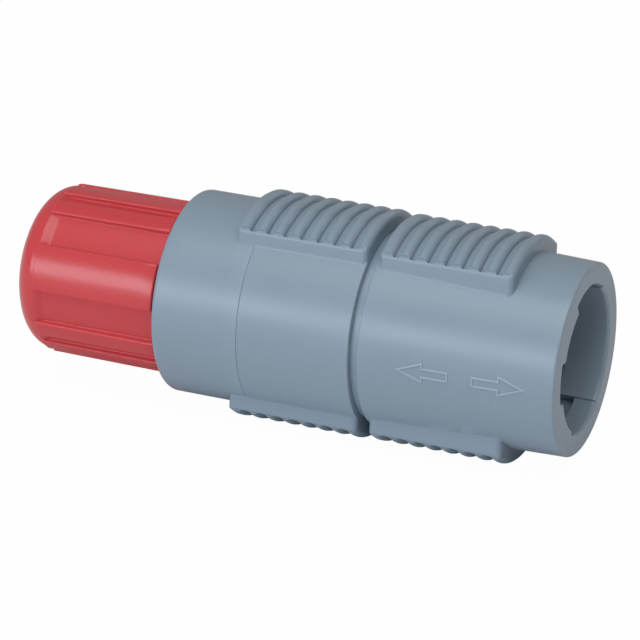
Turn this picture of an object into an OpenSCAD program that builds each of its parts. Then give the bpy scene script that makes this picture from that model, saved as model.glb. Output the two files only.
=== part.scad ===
// Push pull circular connector: an in-line cable connector that lies on its lower finger pads.
// X runs along the connector, out of its mouth. The origin is the centre of the mating face.
// +Z goes up through the upper finger pads. Angles round X start at +Y and turn towards +Z.

/* [Socket and body] */
// Radius of the socket that takes the mating half
socket_r = 4.6; // [4.4:0.05:5.6]
// Depth of the insulator's face behind the mating face
socket_depth = 9.5; // [8.6:0.1:10]
// Wall of the body's nose round the socket
nose_wall = 1.2; // [1.1:0.05:1.5]
// Depth of the catch groove in the socket's wall
catch_groove_depth = 0.35; // [0.2:0.05:0.4]
// Width of the keyway in the socket
keyway_w = 1.2; // [0.8:0.1:1.6]
// How much wider than the socket the bore for the insulators is
carrier_step = 0.4; // [0.3:0.05:0.5]
// Wall of the body's tail round the insulators
tail_wall = 1.8; // [1.4:0.1:2]
// How far the neck stands out past the spring's room
neck_step = 0.45; // [0.3:0.05:0.8]

/* [Coupling sleeve] */
// Length of the coupling sleeve
sleeve_length = 15.45; // [15.2:0.05:18.6]
// How far the sleeve draws back to release the mating half
release_travel = 0.65; // [0.4:0.05:0.8]
// Wall of the sleeve's skirt round the neck
skirt_wall = 0.4; // [0.35:0.05:0.8]
// Wall of the sleeve at the mating face
mouth_wall = 1.87; // [1.5:0.01:2]
// Rounding of the mouth's edge
mouth_edge_r = 0.3; // [0.1:0.05:0.4]
// Height of the coupling lugs
lug_height = 0.6; // [0.4:0.05:0.8]
// Length of a coupling lug, and of the lip beside it
lug_length = 1.75; // [1.2:0.05:2]
// How much wider than the mouth its lips are
lip_depth = 0.15; // [0.1:0.05:0.25]

/* [Grip shell and rear barrel] */
// Wall of the grip shell round the neck
neck_wall = 0.55; // [0.4:0.05:1.2]
// Length of the grip shell, without the overhang of its pads
grip_length = 9.15; // [8.2:0.05:11]
// Length of the rear barrel that shows
barrel_length = 7.2; // [7:0.1:9]
// Rounding of the barrel's rear edge
barrel_edge_r = 0.4; // [0.2:0.1:0.6]

/* [Finger pads] */
// How far a pad's crown stands out of its shell
pad_rise = 0.72; // [0.6:0.01:1]
// Half of the width of a pad
pad_half_width = 5.23; // [4.3:0.01:5.4]
// Length of a pad
pad_length = 10.72; // [10.7:0.01:11]
// Radius of a pad's four corners in plan
pad_corner_r = 0.5; // [0.3:0.1:0.9]
// Radius of the crown that the ribs follow across a pad
pad_crown_r = 9.3; // [9:0.1:12]
// Width of the flat along a pad's crown, which the connector lies on
crown_flat_w = 3.6; // [2.4:0.1:4]
// Number of ribs on a pad
rib_count = 8; // [7:1:8]
// Distance from rib to rib
rib_pitch = 1.37; // [1.3:0.01:1.37]
// Radius of a rib's rounded top
rib_r = 0.47; // [0.4:0.01:0.5]
// Width of the thin rail that closes the valleys at each side
rail_width = 0.28; // [0.2:0.02:0.5]
// How far the rail's top lies below the ribs
rail_drop = 0.1; // [0.05:0.01:0.2]

/* [Insulators and contacts] */
// Length of the front insulator
front_block_length = 6; // [5.5:0.1:6.5]
// Length of the rear insulator
rear_block_length = 4.5; // [4:0.1:5]
// Outer radius of a contact
contact_r = 0.65; // [0.5:0.01:0.8]
// Radius of the hole for the mating pin
contact_hole_r = 0.4; // [0.3:0.05:0.45]
// Length of a contact
contact_length = 14.3; // [13:0.1:14.6]
// Radius of the ring of outer contacts
contact_ring_r = 3.3; // [3.1:0.05:3.4]
// Distance of the two inner contacts from the axis
contact_core_r = 1.1; // [1.05:0.05:1.2]

/* [Return spring] */
// Thickness of the spring's wire
spring_wire = 0.6; // [0.5:0.05:0.75]
// Number of turns
spring_turns = 4; // [3:0.5:5]
// Length of the room for the spring
spring_room_length = 4.65; // [4.2:0.05:5]

/* [Collet and nut] */
// Radius of the cable's hole
cable_r = 3.0; // [2.5:0.1:3.6]
// Wall of the collet's gripping end
collet_wall = 1.85; // [1.6:0.05:2]
// Wall of the nut's shank round the collet
shank_wall = 1.33; // [1.2:0.01:1.5]
// Height of the nut's lands at their front end
land_height = 0.48; // [0.3:0.01:0.7]
// How much lower the lands are at their rear end
land_fall = 0.07; // [0:0.01:0.15]
// Length of the nut's lands
nut_land_length = 10.3; // [9.5:0.1:12.4]
// Length of the domed end
dome_length = 2.3; // [2:0.1:2.6]
// Radius of the dome's curve
dome_r = 7.0; // [6.8:0.1:8]
// Gap between the nut's lands and the barrel
nut_gap = 0.5; // [0.3:0.1:0.6]
// Number of narrow lands between the two wide ones, on each side
narrow_lands = 5; // [4:1:5]
// Angle that a wide land spans
wide_land_angle = 32; // [26:1:34]
// Angle that a narrow land spans
narrow_land_angle = 13; // [8:1:14]
// Angle from one narrow land to the next
narrow_land_step = 21.5; // [20:0.5:22]

/* [Fits] */
// Radial clearance of a sliding fit
slide_gap = 0.05; // [0.03:0.01:0.1]
// Radial clearance round a contact in its hole
contact_gap = 0.05; // [0.03:0.01:0.08]
// Radial clearance inside and outside the spring
spring_gap = 0.3; // [0.2:0.05:0.4]
// Radial clearance between the nut and the collet, before a cable is gripped
grip_gap = 0.12; // [0.1:0.01:0.15]
// Clearance end to end, where one piece stops another
stop_gap = 0.02; // [0.02:0.01:0.05]

/* [Hidden] */
$fn = 96;

grey = [0.54, 0.61, 0.68];
key_angle = 185;         // the keyway lines up with the arrows on the sleeve
through = 0.5;           // how far a cut runs past a face
seat = 0.4;              // how far a raised shape is sunk into what carries it

// Radii, from the socket outwards
nose_r = socket_r + nose_wall;
spring_room_r = nose_r + spring_wire + 2 * spring_gap;
neck_r = spring_room_r + neck_step;
sleeve_tail_r = neck_r + slide_gap + skirt_wall;
shell_r = neck_r + neck_wall;
carrier_r = socket_r + carrier_step;
catch_groove_r = socket_r + catch_groove_depth;
spigot_r = carrier_r + tail_wall;    // the body's tail and the barrel's nose, pressed into the grip shell
mouth_r = nose_r - 0.2;
sleeve_nose_r = mouth_r + mouth_wall;
lug_face_r = mouth_r - lug_height;
lip_r = mouth_r + lip_depth;
ring_in_r = nose_r - 0.4;
ring_out_r = nose_r + 0.5;
ring_room_r = nose_r + 0.6;
pocket_r = ring_room_r - 0.05;       // the pockets behind the lips

// The shells along X
sleeve_tail_x = -sleeve_length;
grip_nose_x = sleeve_tail_x - release_travel - 0.05;
grip_tail_x = grip_nose_x - grip_length;
barrel_tail_x = grip_tail_x - barrel_length;

// How much lower the crown is for its flat
crown_flat_drop = pad_crown_r - sqrt(pow(pad_crown_r, 2) - pow(crown_flat_w / 2, 2));

// The pads along X: the grip shell's pads overhang the joint, and the sleeve's lie near its tail
sleeve_pad_nose_x = sleeve_tail_x + 0.25 + pad_length;
first_valley = 1.16;     // from a pad's front end to its first valley

// The insulators, held by a ring in the body's bore, and the contacts
insulator_r = carrier_r - 0.04;
front_block_tail_x = -socket_depth - front_block_length;
rear_block_tail_x = front_block_tail_x - rear_block_length;
lock_ring_t = 1.0;
lock_ring_in_r = contact_ring_r + contact_r + 0.15;
contact_nose_x = -socket_depth - 0.3;
collar_r = contact_r + 0.2;
collar_t = 0.5;
pin_depth = 5;
cup_depth = 2.5;
core_contacts = 2;
ring_contacts = 8;

// The body along X
nose_x = -4.3;
flange_x = sleeve_tail_x + 0.8;
flange_tail_x = grip_nose_x - 1.05;
body_tail_x = rear_block_tail_x - lock_ring_t - 1.4;
catch_x = nose_x - 1.1;  // front wall of the catch groove
catch_w = 0.8;

// The sleeve's inside along X
ring_x = nose_x - 0.3;   // front face of the retaining ring
ring_t = 0.4;
ring_split = 1.0;
sleeve_stop_x = ring_x - ring_t - stop_gap;
ring_room_x = nose_x + release_travel + 0.45;
spring_room_x = flange_x + spring_room_length;
skirt_x = flange_x + release_travel + 0.05;
sleeve_edge_r = 0.2;
lug_chamfer = 0.15;
lug_ramp = 0.3;

// The lugs lie on both sides of the keyway: half of its angle, and the angle that a lug spans
key_half_angle = 17;
lug_span = 46;
// The lower lug's face is drawn with a wider circle, off the axis, so that it runs out into the bore
fading_r = lug_face_r + 1.6;
fading_shift = 1.4;
// The lips and the pockets behind them start a little inside the lugs, and span this angle
lip_inset = 2;
lip_span = 106;

// The spring
spring_coil_r = (nose_r + spring_room_r) / 2;
spring_sides = 8;
spring_steps = 24;       // rings of the swept wire in one turn

// The collet, from the cable outwards, and the nut round it
collet_head_r = cable_r + collet_wall;
collet_out_r = collet_head_r - 0.25;
collet_tip_r = collet_head_r - 0.9;
thread_r = collet_head_r + grip_gap + shank_wall;    // the nut's shank
thread_bore_r = thread_r + slide_gap;
nut_floor_r = thread_r + 0.04;
nut_front_r = nut_floor_r + land_height;
nut_rear_r = nut_front_r - land_fall;
wire_way_r = carrier_r;
collet_flange_t = 1.0;
tooth_depth = 0.3;
tooth_count = 8;
slit_w = 0.7;
slit_count = 3;          // each slit runs right across, so there are twice as many fingers
key_w = 1.2;             // the keys of the insulators and of the collet
key_depth = 0.45;
collet_key_angle = key_angle + 160;
nut_angle = key_angle - 20;          // middle of a wide land

// The nut and the collet along X
land_nose_x = barrel_tail_x - nut_gap;
land_tail_x = land_nose_x - nut_land_length;
nut_tail_x = land_tail_x - dome_length;
shank_nose_x = grip_tail_x - 3.1;
seat_x = grip_tail_x - 1.7;          // the barrel's shoulder, where the collet's flange rests
cone_tail_x = land_tail_x + 0.4;
cone_x = cone_tail_x + 2.5;
collet_head_x = cone_x + 2.4;

// A shape drawn in (radius, X), turned round the X axis
module turned() {
    rotate([0, 90, 0]) rotate_extrude() children();
}

// The same, over part of a turn: it starts at an angle from +Y towards +Z
module turned_part(start, span) {
    rotate([0, 90, 0]) rotate([0, 0, start + 90]) rotate_extrude(angle = span) children();
}

// A bar along X from x0 back to x1
module bar(r, x0, x1) {
    translate([x1, 0, 0]) rotate([0, 90, 0]) cylinder(r = r, h = x0 - x1);
}

// A ring along X from x0 back to x1
module ring(r_out, r_in, x0, x1) {
    difference() {
        bar(r_out, x0, x1);
        bar(r_in, x0 + through, x1 - through);
    }
}

// A block that points out from the X axis at an angle, between two distances from it
module spoke(angle, w, near, far, x0, x1) {
    rotate([angle, 0, 0]) translate([x1, near, -w / 2]) cube([x0 - x1, far - near, w]);
}

// Points along an arc, for the corner of an outline
function arc(centre, r, from, to, steps = 5) =
    [for (i = [0:steps]) let (a = from + (to - from) * i / steps) centre + r * [cos(a), sin(a)]];

// Outline of a pad in plan, with true round corners
module pad_plan(length, half_width, r) {
    union() {
        translate([r, -half_width]) square([length - 2 * r, 2 * half_width]);
        translate([0, r - half_width]) square([length, 2 * (half_width - r)]);
        for (x = [r, length - r])
            for (y = [r - half_width, half_width - r])
                translate([x, y]) circle(r);
    }
}

// Section of the ribs in (radius, X): a floor with a round-topped rib between each two valleys
module rib_section(crown) {
    floor_r = crown - rib_r;
    union() {
        translate([0, -pad_length]) square([floor_r, pad_length]);
        for (i = [1:rib_count - 2])
            translate([floor_r, -first_valley - (i - 0.5) * rib_pitch]) circle(rib_r);
        end_rib(crown, 0, first_valley - rib_pitch / 2 + rib_r);
        end_rib(crown, first_valley + (rib_count - 1.5) * rib_pitch - rib_r, pad_length);
    }
}

// A wider rib at the end of a pad
module end_rib(crown, near, far) {
    floor_r = crown - rib_r;
    union() {
        translate([floor_r, rib_r - far]) square([rib_r, far - near - 2 * rib_r]);
        translate([floor_r - rib_r, -far]) square([rib_r, far - near]);
        for (x = [near + rib_r, far - rib_r])
            translate([floor_r, -x]) circle(rib_r);
    }
}

// One finger pad, on top: ribs that follow a crown, closed at each side by a thin rail
module finger_pad(nose_x, carrier_radius) {
    height = carrier_radius + pad_rise;
    crown_z = height + crown_flat_drop - pad_crown_r;
    rail_y = pad_half_width - rail_width;
    intersection() {
        translate([nose_x - pad_length, 0, shell_r / 2])
            linear_extrude(height - shell_r / 2) pad_plan(pad_length, pad_half_width, pad_corner_r);
        union() {
            translate([nose_x, 0, crown_z]) turned() rib_section(pad_crown_r);
            for (side = [-1, 1])
                intersection() {
                    translate([0, 0, crown_z])
                        bar(pad_crown_r - rail_drop, nose_x, nose_x - pad_length);
                    translate([nose_x - pad_length, side * (rail_y + shell_r / 2) - shell_r / 2, 0])
                        cube([pad_length, shell_r, height]);
                }
        }
    }
}

// The pads above and below
module pad_pair(nose_x, carrier_radius) {
    finger_pad(nose_x, carrier_radius);
    mirror([0, 0, 1]) finger_pad(nose_x, carrier_radius);
}

// Outline of the sleeve, filled to the axis
module sleeve_outline() {
    polygon(concat(
        [[0, 0]],
        arc([sleeve_nose_r - sleeve_edge_r, -sleeve_edge_r], sleeve_edge_r, 90, 0),
        arc([sleeve_tail_r - sleeve_edge_r, sleeve_tail_x + sleeve_edge_r], sleeve_edge_r, 0, -90),
        [[0, sleeve_tail_x]]));
}

// Outline of the sleeve's hollow: mouth, room for the ring, sliding bore, spring room and skirt
module sleeve_hollow() {
    polygon([
        [0, through],
        [mouth_r + mouth_edge_r, through],
        for (p = arc([mouth_r + mouth_edge_r, -mouth_edge_r], mouth_edge_r, 90, 180)) p,
        [mouth_r, ring_room_x],
        [ring_room_r, ring_room_x],
        [ring_room_r, sleeve_stop_x],
        [nose_r + slide_gap, sleeve_stop_x],
        [nose_r + slide_gap, spring_room_x],
        [spring_room_r, spring_room_x],
        [spring_room_r, skirt_x],
        [neck_r + slide_gap, skirt_x],
        [neck_r + slide_gap, sleeve_tail_x - through],
        [0, sleeve_tail_x - through]]);
}

// Cut for a lip, and the deeper pocket behind it that takes the mating half's catch
module lip_and_pocket(start) {
    turned_part(start, lip_span) polygon(concat(
        [[lug_face_r - seat, through], [lip_r + mouth_edge_r, through]],
        arc([lip_r + mouth_edge_r, -mouth_edge_r], mouth_edge_r, 90, 180),
        [[lip_r, -lug_length], [pocket_r, -lug_length], [pocket_r, ring_room_x - seat],
         [lug_face_r - seat, ring_room_x - seat]]));
}

// Upper lug: its face is concentric with the mouth, and its rear edge is a ramp
module upper_lug() {
    turned_part(key_angle - key_half_angle - lug_span, lug_span) polygon([
        [lug_face_r + lug_chamfer, 0],
        [lug_face_r, -lug_chamfer],
        [lug_face_r, lug_ramp - lug_length],
        [lug_face_r + lug_ramp, -lug_length],
        [lip_r + seat, -lug_length],
        [lip_r + seat, 0]]);
}

// Lower lug: its face runs out into the bore
module lower_lug() {
    difference() {
        turned_part(key_angle + key_half_angle, lug_span) polygon([
            [lug_face_r, 0], [lug_face_r, -lug_length], [lip_r + seat, -lug_length], [lip_r + seat, 0]]);
        rotate([key_angle + key_half_angle + 5, 0, 0]) translate([0, -fading_shift, 0])
            bar(fading_r, through, -lug_length - through);
    }
}

// Sliding sleeve with the mouth, the coupling lugs and two finger pads
module coupling_sleeve() {
    color(grey) union() {
        difference() {
            union() {
                turned() sleeve_outline();
                pad_pair(sleeve_pad_nose_x, sleeve_tail_r);
            }
            turned() sleeve_hollow();
            lip_and_pocket(key_angle + key_half_angle + lip_inset);
            lip_and_pocket(key_angle - key_half_angle - lip_inset - lip_span);
        }
        upper_lug();
        lower_lug();
    }
}

// Compression spring between the sleeve's shoulder and the body's flange
module return_spring() {
    r = spring_wire / 2;
    front = spring_room_x - stop_gap - r;
    run = front - (flange_x + stop_gap + r);
    steps = spring_turns * spring_steps;
    rings = [for (i = [0:steps]) let (a = 360 * i / spring_steps, x = front - run * i / steps)
        [for (k = [0:spring_sides - 1]) let (b = 360 * k / spring_sides, q = spring_coil_r + r * cos(b))
            [x + r * sin(b), q * cos(a), q * sin(a)]]];
    points = [for (one = rings) each one];
    sides = [for (i = [0:steps - 1]) for (k = [0:spring_sides - 1])
        let (a = i * spring_sides + k, b = i * spring_sides + (k + 1) % spring_sides)
        [a, a + spring_sides, b + spring_sides, b]];
    near = [for (k = [0:spring_sides - 1]) k];
    far = [for (k = [spring_sides - 1:-1:0]) steps * spring_sides + k];
    color("silver") polyhedron(points, concat(sides, [near], [far]));
}

// Split ring in the body's groove: it stops the sleeve from coming off forwards
module retaining_ring() {
    color("silver") difference() {
        ring(ring_out_r, ring_in_r, ring_x, ring_x - ring_t);
        spoke(key_angle + 90, ring_split, 0, ring_out_r + through,
              ring_x + through, ring_x - ring_t - through);
    }
}

// Inner body: the nose that the sleeve slides on, the flange that shows as the neck, and the tail
module connector_body() {
    color(grey) difference() {
        union() {
            bar(nose_r, nose_x, flange_x - seat);
            bar(neck_r, flange_x, flange_tail_x);
            bar(spigot_r, flange_tail_x + seat, body_tail_x);
        }
        bar(socket_r, nose_x + through, -socket_depth - seat);
        bar(carrier_r, -socket_depth, body_tail_x - through);
        bar(catch_groove_r, catch_x, catch_x - catch_w);
        ring(ring_out_r + through, ring_in_r, ring_x + stop_gap, ring_x - ring_t - stop_gap);
        spoke(key_angle, keyway_w, 0, carrier_r, nose_x + through, -socket_depth - seat);
        spoke(key_angle, key_w, 0, carrier_r + key_depth, -socket_depth, body_tail_x - through);
    }
}

// Middle shell with two finger pads that reach back over the joint
module grip_shell() {
    color(grey) difference() {
        union() {
            turned() polygon(concat(
                [[0, grip_nose_x]],
                arc([shell_r - sleeve_edge_r, grip_nose_x - sleeve_edge_r], sleeve_edge_r, 90, 0),
                [[shell_r, grip_tail_x], [0, grip_tail_x]]));
            pad_pair(grip_nose_x, shell_r);
        }
        bar(spigot_r, grip_nose_x + through, grip_tail_x - through);
        bar(neck_r, grip_nose_x + through, flange_tail_x);
        bar(shell_r, grip_tail_x, grip_nose_x - pad_length - through);
    }
}

// Barrel behind the joint: its nose is pressed into the grip shell, its rear takes the nut
module rear_barrel() {
    color(grey) difference() {
        union() {
            turned() polygon(concat(
                [[0, grip_tail_x], [shell_r, grip_tail_x]],
                arc([shell_r - barrel_edge_r, barrel_tail_x + barrel_edge_r], barrel_edge_r, 0, -90),
                [[0, barrel_tail_x]]));
            bar(spigot_r, body_tail_x - 0.1, grip_tail_x - seat);
        }
        bar(wire_way_r, body_tail_x + through, seat_x - seat);
        bar(thread_bore_r, seat_x, barrel_tail_x - through);
        spoke(collet_key_angle, key_w + 0.1, 0, thread_bore_r + key_depth, seat_x, barrel_tail_x - through);
    }
}

// Where each contact goes: two near the axis, then the outer ring
function contact_angle(i) = i < core_contacts
    ? key_angle + 360 * i / core_contacts
    : key_angle + 360 * (i - core_contacts + 0.5) / ring_contacts;
function contact_reach(i) = i < core_contacts ? contact_core_r : contact_ring_r;

// Puts a shape that is drawn on the axis at the place of a contact
module at_contact(i) {
    rotate([contact_angle(i), 0, 0]) translate([0, contact_reach(i), 0]) children();
}

// Insulator block with a key along its side
module insulator_block(x0, x1) {
    union() {
        bar(insulator_r, x0, x1);
        spoke(key_angle, key_w - 0.1, insulator_r - seat, insulator_r + key_depth - 0.05, x0, x1);
    }
}

// Front insulator: a small hole leads each pin into its contact
module front_insulator() {
    color([0.16, 0.17, 0.19]) difference() {
        insulator_block(-socket_depth - stop_gap, front_block_tail_x);
        for (i = [0:core_contacts + ring_contacts - 1])
            at_contact(i) {
                bar(contact_hole_r + 0.1, through - socket_depth, contact_nose_x - seat);
                bar(contact_r + contact_gap, contact_nose_x, front_block_tail_x - through);
            }
    }
}

// Rear insulator: each hole has a counterbore that holds the contact's collar
module rear_insulator() {
    x0 = front_block_tail_x - stop_gap;
    color([0.16, 0.17, 0.19]) difference() {
        insulator_block(x0, rear_block_tail_x);
        for (i = [0:core_contacts + ring_contacts - 1])
            at_contact(i) {
                bar(contact_r + contact_gap, x0 + through, rear_block_tail_x - through);
                bar(collar_r + contact_gap, x0 + through, x0 - collar_t - stop_gap);
            }
    }
}

// Ring pressed in behind the insulators
module insulator_lock_ring() {
    x0 = rear_block_tail_x - stop_gap;
    color([0.16, 0.17, 0.19]) ring(carrier_r, lock_ring_in_r, x0, x0 - lock_ring_t);
}

// Turned socket contact: slit hole for the pin, collar, and a solder cup open on one side
module contact(i) {
    tail_x = contact_nose_x - contact_length;
    collar_x = front_block_tail_x - 1.5 * stop_gap;
    color("gold") at_contact(i) difference() {
        union() {
            bar(contact_r, contact_nose_x - stop_gap, tail_x);
            bar(collar_r, collar_x, collar_x - collar_t);
        }
        bar(contact_hole_r, contact_nose_x + through, contact_nose_x - pin_depth);
        bar(contact_hole_r, tail_x + cup_depth, tail_x - through);
        translate([tail_x - through, 0, -contact_r])
            cube([through + cup_depth / 2, contact_r + through, 2 * contact_r]);
    }
}

// Collet: a keyed flange, six springy fingers and toothed grips with a cone at the end
module cable_collet() {
    flange_tail = seat_x - stop_gap - collet_flange_t;
    tooth_step = (collet_head_x - cone_tail_x) / tooth_count;
    color([0.85, 0.85, 0.83]) difference() {
        union() {
            bar(thread_r, seat_x - stop_gap, flange_tail);
            spoke(collet_key_angle, key_w - 0.1, thread_r - seat, thread_bore_r + key_depth - 0.1,
                seat_x - stop_gap, flange_tail);
            turned() polygon([
                [0, flange_tail + seat],
                [collet_out_r, flange_tail + seat],
                [collet_out_r, collet_head_x],
                [collet_head_r, collet_head_x - (collet_head_r - collet_out_r)],
                [collet_head_r, cone_x],
                [collet_tip_r, cone_tail_x + 0.1],
                [0, cone_tail_x + 0.1]]);
        }
        turned() polygon(concat(
            [[0, seat_x + through], [collet_out_r - 1, seat_x + through], [collet_out_r - 1, collet_head_x]],
            [for (i = [0:tooth_count - 1]) each [
                [cable_r + 0.1, collet_head_x - i * tooth_step],
                [cable_r + 0.1 + tooth_depth, collet_head_x - (i + 0.9) * tooth_step]]],
            [[cable_r + 0.1, cone_tail_x - through], [0, cone_tail_x - through]]));
        for (i = [0:slit_count - 1])
            rotate([180 * i / slit_count, 0, 0])
                translate([cone_tail_x - through, -shell_r, -slit_w / 2])
                    cube([flange_tail - 1.2 - cone_tail_x + through, 2 * shell_r, slit_w]);
    }
}

// Where the dome's curve starts and ends, and its centre, in (radius, X)
dome_start = [nut_rear_r - 0.05, land_tail_x];
dome_end = [cable_r + 0.2, nut_tail_x];
dome_half = norm(dome_end - dome_start) / 2;
dome_side = [dome_start[1] - dome_end[1], dome_end[0] - dome_start[0]] / (2 * dome_half);
dome_centre = (dome_start + dome_end) / 2
    + sqrt(dome_r * dome_r - dome_half * dome_half) * [-dome_side[0], -dome_side[1]];
function heading(p) = atan2(p[1] - dome_centre[1], p[0] - dome_centre[0]);

// One land of the nut, centred at an angle
module nut_land(angle, span) {
    turned_part(angle - span / 2, span) polygon([
        [nut_floor_r - seat, land_nose_x],
        [nut_front_r - 0.1, land_nose_x],
        [nut_front_r, land_nose_x - 0.1],
        [nut_rear_r, land_tail_x],
        [nut_floor_r - seat, land_tail_x]]);
}

// Nut that closes the collet: a shank that screws into the barrel, lands and a domed end
module collet_nut() {
    first = (narrow_lands - 1) / 2;
    color([0.80, 0.27, 0.28]) difference() {
        union() {
            bar(thread_r, shank_nose_x, land_nose_x - seat);
            bar(nut_floor_r, land_nose_x + 0.05, land_tail_x - seat);
            turned() polygon(concat(
                [[0, dome_start[1]]],
                arc(dome_centre, dome_r, heading(dome_start), heading(dome_end), 12),
                [[0, nut_tail_x]]));
            for (side = [-1, 1]) {
                nut_land(nut_angle + 90 * (1 - side), wide_land_angle);
                for (i = [0:narrow_lands - 1])
                    nut_land(nut_angle + 90 * side + (i - first) * narrow_land_step,
                        narrow_land_angle);
            }
        }
        bar(cable_r, cone_tail_x + through, nut_tail_x - through);
        turned() polygon([
            [0, shank_nose_x + through],
            [collet_head_r + grip_gap, shank_nose_x + through],
            [collet_head_r + grip_gap, cone_x],
            [collet_tip_r + grip_gap, cone_tail_x],
            [0, cone_tail_x]]);
    }
}

coupling_sleeve();
return_spring();
retaining_ring();
connector_body();
grip_shell();
rear_barrel();
front_insulator();
rear_insulator();
insulator_lock_ring();
for (i = [0:core_contacts + ring_contacts - 1])
    contact(i);
cable_collet();
collet_nut();
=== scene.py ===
import math

import bmesh
import bpy
import numpy as np
from mathutils import Matrix, Vector


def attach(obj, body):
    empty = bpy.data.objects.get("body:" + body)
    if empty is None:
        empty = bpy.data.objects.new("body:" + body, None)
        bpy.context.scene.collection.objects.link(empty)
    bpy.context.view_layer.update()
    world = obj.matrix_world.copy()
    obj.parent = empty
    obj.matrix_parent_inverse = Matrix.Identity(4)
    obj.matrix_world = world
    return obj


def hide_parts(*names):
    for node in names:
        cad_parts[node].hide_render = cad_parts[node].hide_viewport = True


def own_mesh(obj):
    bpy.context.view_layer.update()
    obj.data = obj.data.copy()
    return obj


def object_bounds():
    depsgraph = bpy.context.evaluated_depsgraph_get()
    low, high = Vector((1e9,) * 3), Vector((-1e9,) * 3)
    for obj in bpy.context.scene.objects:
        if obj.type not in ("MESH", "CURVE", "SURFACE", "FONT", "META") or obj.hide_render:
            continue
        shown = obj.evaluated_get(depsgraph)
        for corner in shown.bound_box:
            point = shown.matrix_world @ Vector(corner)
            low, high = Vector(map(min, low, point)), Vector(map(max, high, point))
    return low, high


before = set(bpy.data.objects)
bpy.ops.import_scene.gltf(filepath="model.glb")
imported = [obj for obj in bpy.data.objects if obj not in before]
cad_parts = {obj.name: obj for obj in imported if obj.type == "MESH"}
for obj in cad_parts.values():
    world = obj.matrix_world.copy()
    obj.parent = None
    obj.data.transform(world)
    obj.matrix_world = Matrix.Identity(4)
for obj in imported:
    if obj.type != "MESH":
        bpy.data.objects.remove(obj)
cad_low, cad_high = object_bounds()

# --- Camera ---------------------------------------------------------------------------------
# A long lens looks at the connector's side, from a little above and towards its mouth, with a
# slight roll. Places and sizes are in millimetres and angles in degrees, in every section but
# the next, where the table and the lamps are in metres.
mm = 0.001
camera_aim = Vector((-20.95, -1.81, 0)) * mm
camera_distance = 265.2 * mm
camera_turn = 21.51
camera_rise = 17.76
camera_roll = math.radians(3.39)
camera_lens = 193.9
sensor_width = 36


def towards(turn, rise):
    """Direction out from the connector: turned to the right of its near side, and raised."""
    turn, rise = math.radians(turn), math.radians(rise)
    return Vector((math.sin(turn) * math.cos(rise), -math.cos(turn) * math.cos(rise),
                   math.sin(rise)))


camera_back = towards(camera_turn, camera_rise)
level_right = towards(camera_turn + 90, 0)
level_up = camera_back.cross(level_right)
camera_right = level_right * math.cos(camera_roll) + level_up * math.sin(camera_roll)
camera_up = camera_back.cross(camera_right)
camera_data = bpy.data.cameras.new("camera")
camera_data.lens = camera_lens
camera_data.sensor_width = sensor_width
camera_data.clip_start = 0.01
camera_data.clip_end = 20
camera = bpy.data.objects.new("camera", camera_data)
camera.matrix_world = Matrix.Translation(camera_aim + camera_back * camera_distance) @ Matrix(
    (camera_right, camera_up, camera_back)).transposed().to_4x4()
bpy.context.scene.collection.objects.link(camera)
bpy.context.scene.camera = camera

# --- Table, world and lamps -----------------------------------------------------------------
# A plain white table that the connector lies on, one wide soft lamp in front, low, and a
# softer one above. The table shows near white to the camera and keeps the shadow.
table_reach = 3.0
table_tone = 0.86
table_glow = 0.98
world_light = 0.33

table_mesh = bpy.data.meshes.new("table_top")
table_form = bmesh.new()
bmesh.ops.create_grid(table_form, x_segments=8, y_segments=8, size=table_reach)
bmesh.ops.translate(table_form, verts=table_form.verts, vec=(0, 0, cad_low.z))
table_form.to_mesh(table_mesh)
table_form.free()
table_top = bpy.data.objects.new("table_top", table_mesh)
bpy.context.scene.collection.objects.link(table_top)

table_finish = bpy.data.materials.new("table_white")
table_finish.use_nodes = True
nodes, links = table_finish.node_tree.nodes, table_finish.node_tree.links
nodes.clear()
out = nodes.new("ShaderNodeOutputMaterial")
matt = nodes.new("ShaderNodeBsdfDiffuse")
matt.inputs["Color"].default_value = (table_tone, table_tone, table_tone, 1)
glow = nodes.new("ShaderNodeEmission")
path = nodes.new("ShaderNodeLightPath")
share = nodes.new("ShaderNodeMath")
share.operation = "MULTIPLY"
share.inputs[1].default_value = table_glow
mix = nodes.new("ShaderNodeMixShader")
links.new(path.outputs["Is Camera Ray"], share.inputs[0])
links.new(share.outputs[0], mix.inputs["Fac"])
links.new(matt.outputs[0], mix.inputs[1])
links.new(glow.outputs[0], mix.inputs[2])
links.new(mix.outputs[0], out.inputs["Surface"])
table_mesh.materials.append(table_finish)

world = bpy.data.worlds.new("studio")
world.use_nodes = True
nodes, links = world.node_tree.nodes, world.node_tree.links
sky = nodes["Background"]
sky.inputs["Color"].default_value = (1, 1, 1, 1)
path = nodes.new("ShaderNodeLightPath")
share = nodes.new("ShaderNodeMath")
share.operation = "MULTIPLY_ADD"
share.inputs[1].default_value = 1 - world_light
share.inputs[2].default_value = world_light
links.new(path.outputs["Is Camera Ray"], share.inputs[0])
links.new(share.outputs[0], sky.inputs["Strength"])
bpy.context.scene.world = world


def soft_lamp(name, turn, rise, distance, width, height, power, colour):
    """A soft box aimed at the middle of the connector."""
    back = towards(turn, rise)
    data = bpy.data.lights.new(name, "AREA")
    data.shape = "RECTANGLE"
    data.size, data.size_y = width, height
    data.energy = power
    data.color = colour
    lamp = bpy.data.objects.new(name, data)
    lamp.location = camera_aim + back * distance
    lamp.rotation_mode = "QUATERNION"
    lamp.rotation_quaternion = back.to_track_quat("Z", "Y")
    bpy.context.scene.collection.objects.link(lamp)


soft_lamp("front_box", -21, 11, 0.6, 0.7, 0.17, 1.85, (0.82, 0.92, 1.0))
soft_lamp("top_box", 16, 66, 0.8, 0.8, 0.5, 3.1, (1.0, 1.0, 0.99))

bpy.context.scene.view_settings.view_transform = "Standard"

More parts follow.
